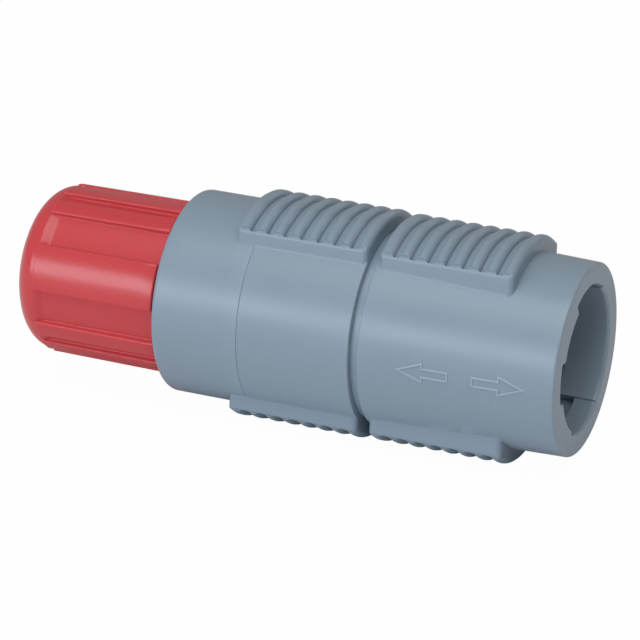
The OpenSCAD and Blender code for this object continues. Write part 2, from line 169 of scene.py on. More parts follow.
# --- Coupling sleeve ------------------------------------------------------------------------
# The front shell, moulded in one piece in grey polyamide with a fine satin grain. It slides on
# the body's nose against the spring, and carries two ribbed finger pads, the coupling lugs in
# its mouth and two raised arrows on its side. Angles are counted round X, from +Y towards +Z.
sleeve_tail = -15.45
sleeve_nose_r = 7.47
sleeve_tail_r = 7.9
sleeve_edge_r = 0.2
sleeve_front_rows = (-0.8, -1.6, -2.4, -3.2, -4.0, -4.34, -4.4, -4.44, -4.465)
sleeve_columns_x = -3
sleeve_pad_nose = -4.48
band_edge_r = 0.09

pad_rise = 0.72
pad_length = 10.72
pad_half_width = 5.23
pad_corner_r = 0.5
pad_crown_r = 9.3
pad_flat_half = 1.8
pad_edge_soft = 0.16
pad_foot_soft = 0.14
pad_reach = 60
sleeve_pad_top = sleeve_tail_r + pad_rise
crown_flat_drop = pad_crown_r - math.sqrt(pad_crown_r ** 2 - pad_flat_half ** 2)
rail_width = 0.28
rail_drop = 0.1
rail_end_r = 0.12

rib_r = 0.47
rib_pitch = 1.37
rib_count = 8
valley_lift = 0.02
valley_soft = 0.05
first_valley = 1.16
first_rib_end = first_valley - rib_pitch / 2 + rib_r
rib_middles = [first_valley + (i - 0.5) * rib_pitch for i in range(1, rib_count - 1)]
last_rib_start = first_valley + (rib_count - 1.5) * rib_pitch - rib_r

mouth_r = 5.6
mouth_edge_r = 0.3
lip_r = 5.75
lip_gap = 2
lip_span = 106
pocket_r = 6.35
key_angle = 185
key_half_angle = 17
lug_face_r = 5.0
lug_length = 1.75
lug_span = 46
lug_ramp = 0.3
lug_edge = 0.15
fading_r = 6.6
fading_shift = 1.4
fading_turn = 5
fading_edge = 0.06
least_lug = 0.02
edge_step = 0.04

ring_room_front = -3.2
ring_room_back = -5.02
ring_room_r = 6.4
nose_bore_r = 5.85
spring_room_front = -10.0
spring_room_r = 7.0
skirt_front = -13.95
skirt_bore_r = 7.5
skirt_edge = 0.08

weld_step = 1e-8
sharp_angle = 38


def arc_rows(x, r, size, start, end, steps=5):
    """Points (x, radius) along a rounded edge: 0 degrees points outwards, 90 to the mouth."""
    turns = np.radians(np.linspace(start, end, steps + 1))
    return [(x + size * math.sin(a), r + size * math.cos(a)) for a in turns]


def soft_max(a, b, size):
    """The larger of two values, with a fillet where they meet."""
    near = np.maximum(size - np.abs(a - b), 0) / size
    return np.maximum(a, b) + near * near * size / 4


def soft_min(a, b, size):
    """The smaller of two values, with a rounding where they meet."""
    return -soft_max(-a, -b, size)


def turn_from(turns, middle):
    """Angle from a middle, between -180 and 180 degrees."""
    return (turns - middle + 180) % 360 - 180


def off_pad(turns):
    """Angle of each column from the middle of the nearer pad."""
    return np.abs(turns % 180 - 90)


def pad_depth(x, pad_nose):
    """How far a row lies behind a pad's front end, kept within the pad."""
    return min(max(pad_nose - x, 0.0), pad_length)


def rib_height(depth):
    """How far the ribs stand above the valleys' floor, at a depth behind the pad's front end."""
    spans = [(0.0, first_rib_end)]
    spans += [(middle - rib_r, middle + rib_r) for middle in rib_middles]
    spans += [(last_rib_start, pad_length)]
    height = 0.0
    for near, far in spans:
        inside = min(depth - near, far - depth)
        if inside > 0:
            fall = max(rib_r - inside, 0)
            height = max(height, math.sqrt(rib_r ** 2 - fall ** 2))
    return soft_max(height, valley_lift, valley_soft)


def pad_half(depth):
    """Half of the pad's width at a depth, with the round corners in plan."""
    inside = min(depth, pad_length - depth, pad_corner_r)
    return pad_half_width - pad_corner_r + math.sqrt(
        pad_corner_r ** 2 - (pad_corner_r - inside) ** 2)


def crown_centre(top):
    """Height of the point that a pad's crown is struck from."""
    return top + crown_flat_drop - pad_crown_r


def pad_surface(turn, depth, top):
    """Radius of a finger pad's surface at angles from its middle; top is the pad's height."""
    centre = crown_centre(top)
    a = np.radians(turn)

    def crown(radius):
        return centre * np.cos(a) + np.sqrt(np.maximum(
            radius ** 2 - (centre * np.sin(a)) ** 2, 0))

    ribs = crown(pad_crown_r - rib_r + rib_height(depth))
    rail = crown(pad_crown_r - rail_drop)
    to_end = min(depth, pad_length - depth)
    if to_end < rail_end_r:
        rail = rail - (rail_end_r - math.sqrt(rail_end_r ** 2 - (rail_end_r - to_end) ** 2))
    across = np.minimum(ribs, rail) * np.sin(a)
    face = np.where(across > pad_half_width - rail_width, rail, ribs)
    face = np.minimum(face, top / np.cos(a))
    side = pad_half(depth) / np.maximum(np.sin(a), 1e-3)
    return soft_min(face, side, pad_edge_soft)


def pad_turns(depth, carrier, top):
    """Angles of one quarter's columns, from a pad's middle out to halfway between the pads:
    over the crown and its rail, down the pad's side, over the fillet and round the shell."""
    half = pad_half(depth)
    across = np.array([0, 0.45, 0.9, 1.3, 1.8, 2.4, 3.0, 3.6, 4.1, 4.5, 4.75, 4.87, 4.93, 4.947,
                       4.953, 4.98, 5.03, 5.09, 5.14, 5.175, 5.2, 5.22, pad_half_width])
    across = across * half / pad_half_width
    height = crown_centre(top) + np.sqrt((pad_crown_r - rail_drop) ** 2 - across ** 2)
    crown = np.degrees(np.arctan2(across, height))
    foot = math.degrees(math.asin(half / carrier))
    side = crown[-1] + (foot - crown[-1]) * np.array([0.06, 0.15, 0.3, 0.5, 0.7, 0.84, 0.93, 1.0])
    fillet = foot + np.degrees(np.array([0.02, 0.05, 0.1, 0.18, 0.35]) / carrier)
    shell = fillet[-1] + (90 - fillet[-1]) * np.linspace(0, 1, 15)[1:]
    return np.concatenate([crown, side, fillet, shell])


def round_turns(quarter):
    """Columns all round, from one quarter's: the pads are above and below."""
    upper = np.concatenate([quarter, (180 - quarter[::-1])[1:]])
    return np.concatenate([90 + upper, 270 + upper[1:-1]])


def ring_row(x, radius, turns):
    """One row round the axis: (x, radius, angle) for each column."""
    return np.stack([np.full(len(turns), float(x)), radius * np.ones(len(turns)), turns], 1)


def pad_row(x, carrier, pad_nose, top, with_pad=True):
    """One row round a shell of radius carrier, over its pads or as if they weren't there."""
    depth = pad_depth(x, pad_nose)
    turns = round_turns(pad_turns(depth, carrier, top))
    radius = np.full(len(turns), float(carrier))
    if with_pad:
        off = off_pad(turns)
        near = off < pad_reach
        pad = np.where(near, pad_surface(np.where(near, off, 0), depth, top), 0)
        radius = soft_max(radius, pad, pad_foot_soft)
    return ring_row(x, radius, turns)


def pad_depths():
    """Depths of the rows along a pad: dense at its ends and where a rib rises."""
    ends = [0.0, 0.012, 0.03, 0.06, 0.1, 0.16, 0.25, 0.36, rib_r]
    fall = rib_r * (1 - np.cos(np.radians([90, 72, 54, 38, 24, 12, 4, 0])))
    depths = ends + list(first_rib_end - fall)
    for middle in rib_middles:
        depths += list(middle - rib_r + fall[::-1]) + list(middle + rib_r - fall[1:])
    depths += list(last_rib_start + fall[::-1]) + [pad_length - end for end in ends]
    return sorted({round(float(depth), 5) for depth in depths})


def skin_mesh(name, rows):
    """A closed skin: each row of (x, radius, angle) runs round the axis, and the last row joins
    the first. Points in one place are welded, and faces that fold onto each other are left out."""
    rows = np.array(rows)
    count, columns = rows.shape[:2]
    x, radius, angle = rows[..., 0], rows[..., 1], np.radians(rows[..., 2])
    points = np.stack([x, radius * np.cos(angle), radius * np.sin(angle)], -1)
    points = points.reshape(-1, 3) * mm
    index = np.arange(count * columns).reshape(count, columns)
    after, beside = np.roll(index, -1, 0), np.roll(index, -1, 1)
    quads = np.stack([index, beside, np.roll(after, -1, 1), after], -1).reshape(-1, 4)
    places, welded = np.unique(np.round(points / weld_step).astype(np.int64), axis=0,
                               return_inverse=True)
    faces, seen = [], {}
    for quad in welded.ravel()[quads]:
        face = [v for k, v in enumerate(quad) if v != quad[k - 1]]
        if len(set(face)) < 3 or len(set(face)) != len(face):
            continue
        key = frozenset(face)
        if key in seen:
            faces[seen.pop(key)] = None
            continue
        seen[key] = len(faces)
        faces.append([int(v) for v in face])
    mesh = bpy.data.meshes.new(name)
    mesh.from_pydata((places * weld_step).tolist(), [], [face for face in faces if face])
    form = bmesh.new()
    form.from_mesh(mesh)
    bmesh.ops.delete(form, geom=[v for v in form.verts if not v.link_faces], context="VERTS")
    bmesh.ops.recalc_face_normals(form, faces=form.faces)
    if form.calc_volume(signed=True) < 0:
        bmesh.ops.reverse_faces(form, faces=form.faces)
    for face in form.faces:
        face.smooth = True
    form.to_mesh(mesh)
    form.free()
    mesh.set_sharp_from_angle(angle=math.radians(sharp_angle))
    piece = bpy.data.objects.new(name, mesh)
    bpy.context.scene.collection.objects.link(piece)
    shading = piece.modifiers.new("even_shading", "WEIGHTED_NORMAL")
    shading.keep_sharp = True
    return piece


def sleeve_carrier(x):
    """Radius of the sleeve's outer cone."""
    share = (x + sleeve_edge_r) / (sleeve_tail + 2 * sleeve_edge_r)
    return sleeve_nose_r + (sleeve_tail_r - sleeve_nose_r) * share


def sleeve_row(x, with_pad=True):
    """One row round the sleeve's outside."""
    return pad_row(x, sleeve_carrier(x), sleeve_pad_nose, sleeve_pad_top, with_pad)


def mouth_profile(angle):
    """Points (x, radius) from the front face into the ring's room, at one angle. Above the key
    stands the full lug, and below it one that fades into the bore."""
    from_key = turn_from(angle, key_angle)
    away = abs(from_key)
    full_lug = from_key < 0
    in_pocket = key_half_angle + lip_gap < away < key_half_angle + lip_gap + lip_span
    in_lug = key_half_angle < away < key_half_angle + lug_span
    bore, back = (lip_r, pocket_r) if in_pocket else (mouth_r, mouth_r)
    face = bore
    if in_lug and full_lug:
        face = lug_face_r
    elif in_lug:
        lean = math.radians(from_key - key_half_angle - fading_turn)
        face = -fading_shift * math.cos(lean) + math.sqrt(
            fading_r ** 2 - (fading_shift * math.sin(lean)) ** 2)
        face = min(max(face, lug_face_r), bore)
    if face < bore - least_lug:
        ramp, edge = (lug_ramp, lug_edge) if full_lug else (fading_edge, fading_edge)
        front = [(0.0, face + edge + (mouth_r + mouth_edge_r - face - edge) * share)
                 for share in (1, 0.75, 0.5, 0.25, 0)]
        front += [(-edge * 0.5, face + edge * 0.35), (-edge, face)]
        rear = [(ramp - lug_length, face), (-lug_length, min(face + ramp, bore))]
    else:
        front = arc_rows(-mouth_edge_r, bore + mouth_edge_r, mouth_edge_r, 90, 180, 6)
        rear = [(lug_ramp - lug_length, bore), (-lug_length, bore)]
    return front + rear + [(-lug_length, back), (ring_room_front, back),
                           (ring_room_front, ring_room_r)]


front_turns = round_turns(pad_turns(0.0, sleeve_carrier(sleeve_columns_x), sleeve_pad_top))
sleeve_rows = [ring_row(x, r, front_turns) for x, r in arc_rows(
    -sleeve_edge_r, sleeve_nose_r - sleeve_edge_r, sleeve_edge_r, 90, 0)]
sleeve_rows += [sleeve_row(x, False) for x in sleeve_front_rows]
pad_places = [sleeve_pad_nose - depth for depth in pad_depths()]
sleeve_rows.append(sleeve_row(pad_places[0], False))
sleeve_rows += [sleeve_row(x) for x in pad_places]
sleeve_rows.append(sleeve_row(pad_places[-1], False))
sleeve_rows += [ring_row(x, r, front_turns) for x, r in arc_rows(
    sleeve_tail + band_edge_r, sleeve_tail_r - band_edge_r, band_edge_r, 0, -90)]

# Inside, the two columns nearest to each edge of a lug or lip move up to it from either side.
inner_turns = front_turns.copy()
for reach in (0, lip_gap, lug_span, lip_gap + lip_span):
    for side in (-1, 1):
        gap = turn_from(inner_turns, key_angle + side * (key_half_angle + reach))
        below = np.argmax(np.where(gap <= 0, gap, -360))
        above = np.argmin(np.where(gap > 0, gap, 360))
        inner_turns[below] -= gap[below] + edge_step
        inner_turns[above] -= gap[above] - edge_step
sleeve_hollow = [
    (sleeve_tail, skirt_bore_r + skirt_edge), (sleeve_tail + skirt_edge, skirt_bore_r),
    (skirt_front, skirt_bore_r), (skirt_front, spring_room_r),
    (spring_room_front, spring_room_r), (spring_room_front, nose_bore_r),
    (ring_room_back, nose_bore_r), (ring_room_back, ring_room_r)]
sleeve_rows += [ring_row(x, r, inner_turns) for x, r in sleeve_hollow]
profiles = np.array([mouth_profile(angle) for angle in inner_turns])
sleeve_rows += [np.column_stack([profiles[:, k], inner_turns])
                for k in reversed(range(profiles.shape[1]))]
sleeve_skin = skin_mesh("sliding_sleeve_shell", sleeve_rows)

# The arrows are raised outlines on the sleeve's near side: they say which way the sleeve is
# pushed to mate and drawn back to release. Each outline is a closed path on the sleeve's cone.
arrow_angle = 185
arrow_half_width = 0.073
arrow_rise = 0.075
arrow_steps = 8
arrow_head_half = 0.73
arrow_shaft_half = 0.33
release_arrow = [(-12.17, 0), (-10.3, arrow_head_half), (-10.3, arrow_shaft_half),
                 (-8.3, arrow_shaft_half), (-8.3, -arrow_shaft_half),
                 (-10.3, -arrow_shaft_half), (-10.3, -arrow_head_half)]
mate_arrow = [(-2.37, 0), (-4.3, -arrow_head_half), (-4.3, -arrow_shaft_half),
              (-6.33, -arrow_shaft_half), (-6.33, arrow_shaft_half),
              (-4.3, arrow_shaft_half), (-4.3, arrow_head_half)]


def arrow_ridge(corners):
    """Rows across the ridge, each a closed path round the arrow as (x, radius, angle)."""
    corners = np.array(corners, float)
    ahead = np.roll(corners, -1, 0) - corners
    ahead /= np.linalg.norm(ahead, axis=1)[:, None]
    normal = np.stack([-ahead[:, 1], ahead[:, 0]], 1)
    mitre = normal + np.roll(normal, 1, 0)
    mitre /= np.sum(mitre * normal, 1)[:, None]
    rows = []
    for side, rise in ((-1.25, -0.06), (-1.1, 0.005 * arrow_rise), (-0.72, 0.85 * arrow_rise),
                       (-0.35, arrow_rise), (0.35, arrow_rise), (0.72, 0.85 * arrow_rise),
                       (1.1, 0.005 * arrow_rise), (1.25, -0.06)):
        bent = corners + mitre * side * arrow_half_width
        path = np.array([a + (b - a) * k / arrow_steps for a, b in zip(bent, np.roll(bent, -1, 0))
                         for k in range(arrow_steps)])
        carrier = sleeve_carrier(path[:, 0])
        rows.append(np.stack([path[:, 0], carrier + rise,
                              arrow_angle + np.degrees(path[:, 1] / carrier)], 1))
    return rows


arrow_pieces = [skin_mesh(name, arrow_ridge(corners)) for name, corners in
                (("release_arrow", release_arrow), ("mate_arrow", mate_arrow))]


def moulded_satin_group():
    """Finish of a spark-eroded mould: a fine grain, slow drifts of colour, painted edge
    highlights.
    """
    cloud_scale, pore_scale = 120, 1500
    edge_start, edge_gain = 0.515, 14
    grain_tone = 0.06
    group = bpy.data.node_groups.new("moulded_satin", "ShaderNodeTree")
    sockets = group.interface
    for name, kind, value in (("Colour", "NodeSocketColor", (0.5, 0.5, 0.5, 1)),
                              ("Drift", "NodeSocketFloat", 0.03),
                              ("Grain", "NodeSocketFloat", 6000.0),
                              ("Gloss", "NodeSocketFloat", 0.4),
                              ("Gloss_spread", "NodeSocketFloat", 0.1),
                              ("Painted_edge_highlight", "NodeSocketFloat", 0.15)):
        sockets.new_socket(name, in_out="INPUT", socket_type=kind).default_value = value
    for name, kind in (("Colour", "NodeSocketColor"), ("Roughness", "NodeSocketFloat"),
                       ("Height", "NodeSocketFloat")):
        sockets.new_socket(name, in_out="OUTPUT", socket_type=kind)
    nodes, links = group.nodes, group.links
    inputs = nodes.new("NodeGroupInput").outputs
    outputs = nodes.new("NodeGroupOutput").inputs
    place = nodes.new("ShaderNodeTexCoord").outputs["Object"]

    def feed(socket, value):
        if isinstance(value, (int, float)):
            socket.default_value = value
        else:
            links.new(value, socket)

    def speckle(scale, detail):
        noise = nodes.new("ShaderNodeTexNoise")
        noise.inputs["Detail"].default_value = detail
        links.new(place, noise.inputs["Vector"])
        feed(noise.inputs["Scale"], scale)
        return noise.outputs["Fac"]

    def calc(operation, a, b, clamp=False):
        node = nodes.new("ShaderNodeMath")
        node.operation = operation
        node.use_clamp = clamp
        feed(node.inputs[0], a)
        feed(node.inputs[1], b)
        return node.outputs[0]

    cloud = calc("SUBTRACT", speckle(cloud_scale, 2), 0.5)
    grain = speckle(inputs["Grain"], 3)
    fine = calc("SUBTRACT", grain, 0.5)
    # Painted highlight: the colour is made lighter where the surface is sharply convex, standing
    # in for the light that edges catch.
    edge = nodes.new("ShaderNodeNewGeometry").outputs["Pointiness"]
    painted_highlight = calc("MULTIPLY", calc("SUBTRACT", edge, edge_start), edge_gain, True)
    painted_highlight = calc("MULTIPLY", painted_highlight, inputs["Painted_edge_highlight"])
    shade = calc("ADD", calc("MULTIPLY", cloud, inputs["Drift"]),
                 calc("MULTIPLY", fine, grain_tone))
    shade = calc("ADD", shade, calc("ADD", painted_highlight, 1.0))
    tint = nodes.new("ShaderNodeVectorMath")
    tint.operation = "SCALE"
    links.new(inputs["Colour"], tint.inputs[0])
    links.new(shade, tint.inputs["Scale"])
    links.new(tint.outputs[0], outputs["Colour"])
    spread = calc("MULTIPLY", calc("ADD", cloud, fine), inputs["Gloss_spread"])
    links.new(calc("ADD", inputs["Gloss"], spread), outputs["Roughness"])
    pores = calc("MULTIPLY", speckle(pore_scale, 2), 0.3)
    links.new(calc("ADD", calc("MULTIPLY", grain, 0.7), pores), outputs["Height"])
    return group


moulded_satin = moulded_satin_group()


# A moulded finish lightens its sharp edges by a set amount, as a painted highlight.
def moulded_finish(name, colour, gloss, drift=0.05, grain=7000.0, depth=0.006, edge_highlight=0.15,
                   gloss_spread=0.12):
    """A moulded plastic: its colour, gloss and grain, with the grain's depth in millimetres."""
    finish = bpy.data.materials.new(name)
    finish.use_nodes = True
    nodes, links = finish.node_tree.nodes, finish.node_tree.links
    surface = nodes["Principled BSDF"]
    surface.inputs["IOR"].default_value = 1.5
    satin = nodes.new("ShaderNodeGroup")
    satin.node_tree = moulded_satin
    for socket, value in (("Colour", (*colour, 1)), ("Drift", drift), ("Grain", grain),
                          ("Gloss", gloss), ("Gloss_spread", gloss_spread),
                          ("Painted_edge_highlight", edge_highlight)):
        satin.inputs[socket].default_value = value
    bump = nodes.new("ShaderNodeBump")
    bump.inputs["Strength"].default_value = 1.0
    bump.inputs["Distance"].default_value = depth * mm
    links.new(satin.outputs["Colour"], surface.inputs["Base Color"])
    links.new(satin.outputs["Roughness"], surface.inputs["Roughness"])
    links.new(satin.outputs["Height"], bump.inputs["Height"])
    links.new(bump.outputs["Normal"], surface.inputs["Normal"])
    return finish


shell_finish = moulded_finish("shell_polyamide", (0.232, 0.298, 0.362), 0.34)
arrow_finish = moulded_finish("arrow_outline", (0.30, 0.375, 0.445), 0.34)
sleeve_skin.data.materials.append(shell_finish)
for arrow in arrow_pieces:
    arrow.data.materials.append(arrow_finish)
    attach(arrow, "sleeve")
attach(sleeve_skin, "sleeve")
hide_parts("coupling_sleeve")

# --- Return spring --------------------------------------------------------------------------
# A compression spring of round steel wire between the sleeve's shoulder and the body's flange.
# The whole wire goes with the sleeve; in the connector itself its coils close up as the sleeve is
# drawn back.
wire_r = 0.3
wire_sides = 14
spring_r = 6.4
spring_turns = 4.0
turn_steps = 40
spring_front = -10.02
spring_back = -14.63
spring_length = spring_front - spring_back


def spring_tree():
    """Geometry Nodes tree: a round wire swept along a helix, with its sizes as named inputs."""
    group = bpy.data.node_groups.new("wound_spring", "GeometryNodeTree")
    sockets = group.interface
    for name in ("Wire_radius", "Coil_radius", "Length", "Turns"):
        sockets.new_socket(name, in_out="INPUT", socket_type="NodeSocketFloat")
    sockets.new_socket("Finish", in_out="INPUT", socket_type="NodeSocketMaterial")
    sockets.new_socket("Geometry", in_out="OUTPUT", socket_type="NodeSocketGeometry")
    nodes, links = group.nodes, group.links
    inputs = nodes.new("NodeGroupInput").outputs
    coil = nodes.new("GeometryNodeCurveSpiral")
    coil.inputs["Resolution"].default_value = turn_steps
    links.new(inputs["Turns"], coil.inputs["Rotations"])
    links.new(inputs["Coil_radius"], coil.inputs["Start Radius"])
    links.new(inputs["Coil_radius"], coil.inputs["End Radius"])
    links.new(inputs["Length"], coil.inputs["Height"])
    wire = nodes.new("GeometryNodeCurvePrimitiveCircle")
    wire.inputs["Resolution"].default_value = wire_sides
    links.new(inputs["Wire_radius"], wire.inputs["Radius"])
    swept = nodes.new("GeometryNodeCurveToMesh")
    swept.inputs["Fill Caps"].default_value = True
    links.new(coil.outputs["Curve"], swept.inputs["Curve"])
    links.new(wire.outputs["Curve"], swept.inputs["Profile Curve"])
    real = nodes.new("GeometryNodeRealizeInstances")
    links.new(swept.outputs["Mesh"], real.inputs["Geometry"])
    coat = nodes.new("GeometryNodeSetMaterial")
    links.new(real.outputs["Geometry"], coat.inputs["Geometry"])
    links.new(inputs["Finish"], coat.inputs["Material"])
    links.new(coat.outputs["Geometry"], nodes.new("NodeGroupOutput").inputs["Geometry"])
    return group


def metal_finish(name, colour, gloss, streak):
    """Drawn or turned metal: fine lines show in its tone and gloss. streak is how many of them
    lie in a metre along X, and line_rate how many in the other two directions."""
    line_rate = 900
    dark, light = 0.88, 1.08
    smooth, rough = 0.08, 0.1
    line_depth = 0.003
    finish = bpy.data.materials.new(name)
    finish.use_nodes = True
    nodes, links = finish.node_tree.nodes, finish.node_tree.links
    surface = nodes["Principled BSDF"]
    surface.inputs["Metallic"].default_value = 1.0
    place = nodes.new("ShaderNodeTexCoord")
    stretch = nodes.new("ShaderNodeMapping")
    stretch.inputs["Scale"].default_value = (streak, line_rate, line_rate)
    lines = nodes.new("ShaderNodeTexNoise")
    lines.inputs["Scale"].default_value = 1.0
    lines.inputs["Detail"].default_value = 3
    links.new(place.outputs["Object"], stretch.inputs["Vector"])
    links.new(stretch.outputs["Vector"], lines.inputs["Vector"])
    tone = nodes.new("ShaderNodeMix")
    tone.data_type = "RGBA"
    tone.inputs["A"].default_value = (*[c * dark for c in colour], 1)
    tone.inputs["B"].default_value = (*[min(c * light, 1) for c in colour], 1)
    links.new(lines.outputs["Fac"], tone.inputs["Factor"])
    links.new(tone.outputs["Result"], surface.inputs["Base Color"])
    gloss_range = nodes.new("ShaderNodeMapRange")
    gloss_range.inputs["To Min"].default_value = gloss - smooth
    gloss_range.inputs["To Max"].default_value = gloss + rough
    links.new(lines.outputs["Fac"], gloss_range.inputs["Value"])
    links.new(gloss_range.outputs["Result"], surface.inputs["Roughness"])
    bump = nodes.new("ShaderNodeBump")
    bump.inputs["Distance"].default_value = line_depth * mm
    links.new(lines.outputs["Fac"], bump.inputs["Height"])
    links.new(bump.outputs["Normal"], surface.inputs["Normal"])
    return finish


def grown_piece(name, group, sizes):
    """Runs a Geometry Nodes tree once with named sizes and keeps its result as a plain mesh."""
    seed = bpy.data.objects.new(name + "_seed", bpy.data.meshes.new(name + "_seed"))
    bpy.context.scene.collection.objects.link(seed)
    grower = seed.modifiers.new("grow", "NODES")
    grower.node_group = group
    for item in group.interface.items_tree:
        if item.item_type == "SOCKET" and item.in_out == "INPUT":
            grower[item.identifier] = sizes[item.name]
    bpy.context.view_layer.update()
    ready = seed.evaluated_get(bpy.context.evaluated_depsgraph_get())
    mesh = bpy.data.meshes.new_from_object(ready)
    mesh.name = name
    bpy.data.objects.remove(seed)
    piece = bpy.data.objects.new(name, mesh)
    bpy.context.scene.collection.objects.link(piece)
    return piece


spring_piece = grown_piece("return_spring_wire", spring_tree(), {
    "Wire_radius": wire_r * mm, "Coil_radius": spring_r * mm, "Turns": spring_turns,
    "Length": (spring_length - 2 * wire_r) * mm,
    "Finish": metal_finish("spring_steel_drawn", (0.60, 0.60, 0.61), 0.28, 4000)})
spring_piece.data.transform(Matrix.Translation(((spring_back + wire_r) * mm, 0, 0))
                            @ Matrix.Rotation(math.radians(90), 4, "Y"))
for face in spring_piece.data.polygons:
    face.use_smooth = True
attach(spring_piece, "sleeve")
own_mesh(spring_piece)
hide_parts("return_spring")

# --- Retaining ring -------------------------------------------------------------------------
# A split ring of flat spring steel, snapped into the groove of the body's nose. It stops the
# sleeve from coming off forwards.
def coat_node(name, finish):
    """Gives a CAD piece its finish."""
    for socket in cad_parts[name].material_slots:
        socket.material = finish


coat_node("retaining_ring", metal_finish("ring_steel_ground", (0.55, 0.55, 0.56), 0.34, 1500))

# --- Connector body -------------------------------------------------------------------------
# The inner body, moulded in the same grey polyamide: the nose that the sleeve slides on, the
# neck that shows between the shells, and the tail that is pressed into the grip shell.
coat_node("connector_body", shell_finish)

# --- Grip shell -----------------------------------------------------------------------------
# The middle shell, pressed over the body's tail, in the same grey polyamide. Its two finger
# pads reach back over the joint with the rear barrel, where both edges are rounded.
shell_r = 8.0
grip_nose = -16.15
grip_tail = -25.3
grip_bore_r = 6.8
grip_bore_edge = 0.1
grip_shoulder = -17.2
grip_neck_r = 7.45
grip_neck_edge = 0.06
grip_pad_top = shell_r + pad_rise
joint_soft = 0.07
overhang_gap = 0.004
bare_limit = 0.01
fillet_limit = 0.001
band_lean = 0.05
hair = 1e-6


def grip_row(x, under=False):
    """A row of the grip shell, over its pads or along their underside. Behind the joint only
    the pads go on, and the columns between them stay at the joint."""
    row = pad_row(x, shell_r, grip_nose, grip_pad_top, not under)
    if under:
        row[:, 1] = shell_r + overhang_gap
    if x < grip_tail - hair or under:
        off = off_pad(row[:, 2])
        foot = math.degrees(math.asin(pad_half(pad_depth(x, grip_nose)) / shell_r))
        outside = off > foot + hair
        at_joint = pad_row(grip_tail, shell_r, grip_nose, grip_pad_top, False)
        row[outside] = at_joint[outside]
        row[outside, 1] = shell_r - joint_soft
        row[np.abs(off - foot) < hair, 1] = shell_r + overhang_gap
    return row


grip_turns = round_turns(pad_turns(0.0, shell_r, grip_pad_top))
grip_rows = [ring_row(x, r, grip_turns) for x, r in arc_rows(
    grip_nose - band_edge_r, shell_r - band_edge_r, band_edge_r, 90, 0)]
pad_face = pad_row(grip_nose, shell_r, grip_nose, grip_pad_top)[:, 1]
on_pad = pad_face > shell_r + bare_limit
for row, rise in zip(grip_rows, np.linspace(0, 1, len(grip_rows))):
    row[on_pad, 0] = grip_nose
    row[on_pad, 1] = shell_r - band_edge_r + (pad_face[on_pad] - shell_r + band_edge_r) * rise

grip_depths = pad_depths()
joint_depth = grip_nose - grip_tail
for depth in sorted({*grip_depths, joint_depth - joint_soft, joint_depth}):
    row = grip_row(grip_nose - depth)
    if depth < band_edge_r:
        row[row[:, 1] < shell_r + bare_limit, 0] = grip_nose - band_edge_r - depth * band_lean
    elif depth == joint_depth:
        row[row[:, 1] < shell_r + fillet_limit, 1] = shell_r - joint_soft
    grip_rows.append(row)
overhang_depths = [depth for depth in grip_depths if grip_nose - depth < grip_tail]
for depth in [joint_depth] + overhang_depths[::-1]:
    grip_rows.append(grip_row(grip_nose - depth, under=True))
grip_rows += [ring_row(x, r, grip_turns) for x, r in (
    (grip_tail, grip_bore_r + grip_bore_edge), (grip_tail + grip_bore_edge, grip_bore_r),
    (grip_shoulder, grip_bore_r), (grip_shoulder, grip_neck_r),
    (grip_nose - grip_neck_edge, grip_neck_r), (grip_nose, grip_neck_r + grip_neck_edge))]
grip_skin = skin_mesh("grip_shell_skin", grip_rows)
grip_skin.data.materials.append(shell_finish)
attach(grip_skin, "housing")
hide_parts("grip_shell")

# --- Rear barrel ----------------------------------------------------------------------------
# The plain barrel behind the joint, in the same grey. Its nose is pressed into the grip shell,
# and its bore takes the nut's shank and, in a keyway, the collet. Its side is left bare.
barrel_tail = -32.5
barrel_edge_r = 0.4
barrel_bore_r = 6.35
barrel_bore_edge = 0.15
barrel_seat = -27.0
barrel_hole_r = 5.0
barrel_plain_rows = (-27.0, -29.0, -31.0)
spigot_nose = -22.5
spigot_r = 6.8
spigot_edge = 0.1
keyway_angle = 345
keyway_width = 1.3
keyway_reach = 6.8
keyway_step = 0.03


def barrel_bore(turns):
    """Radius of the rear bore, with the keyway for the collet."""
    away = np.radians(turn_from(turns, keyway_angle))
    inside = (np.abs(np.sin(away)) * keyway_reach < keyway_width / 2) & (np.cos(away) > 0)
    return np.where(inside, keyway_reach, barrel_bore_r)


half_key = math.degrees(math.asin(keyway_width / 2 / keyway_reach))
keyway_turns = [keyway_angle + side * half_key + step
                for side in (-1, 1) for step in (-keyway_step, keyway_step)]
barrel_turns = np.sort(np.concatenate([np.arange(0, 360, 2.5), keyway_turns]))
barrel_outside = [(grip_tail, shell_r - joint_soft), (grip_tail - 0.02, shell_r - 0.03),
                  (grip_tail - joint_soft, shell_r)]
barrel_outside += [(x, shell_r) for x in barrel_plain_rows]
barrel_outside += arc_rows(barrel_tail + barrel_edge_r, shell_r - barrel_edge_r, barrel_edge_r,
                           0, -90, 6)
barrel_rows = [ring_row(x, r, barrel_turns) for x, r in barrel_outside]
bore = barrel_bore(barrel_turns)
barrel_rows += [ring_row(x, r, barrel_turns) for x, r in (
    (barrel_tail, bore + barrel_bore_edge), (barrel_tail + barrel_bore_edge, bore),
    (barrel_seat, bore), (barrel_seat, barrel_hole_r), (spigot_nose, barrel_hole_r),
    (spigot_nose, spigot_r - spigot_edge), (spigot_nose - spigot_edge, spigot_r),
    (grip_tail, spigot_r))]
barrel_skin = skin_mesh("rear_barrel_skin", barrel_rows)
barrel_skin.data.materials.append(shell_finish)
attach(barrel_skin, "housing")
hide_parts("rear_barrel")

# --- Insulators and their ring --------------------------------------------------------------
# Two keyed blocks of black glass-filled plastic that carry the contacts, and the ring pressed
# in behind them.
insulator_finish = moulded_finish("insulator_black", (0.020, 0.022, 0.026), 0.5, grain=9000.0)
for name in ("front_insulator", "rear_insulator", "insulator_lock_ring"):
    coat_node(name, insulator_finish)

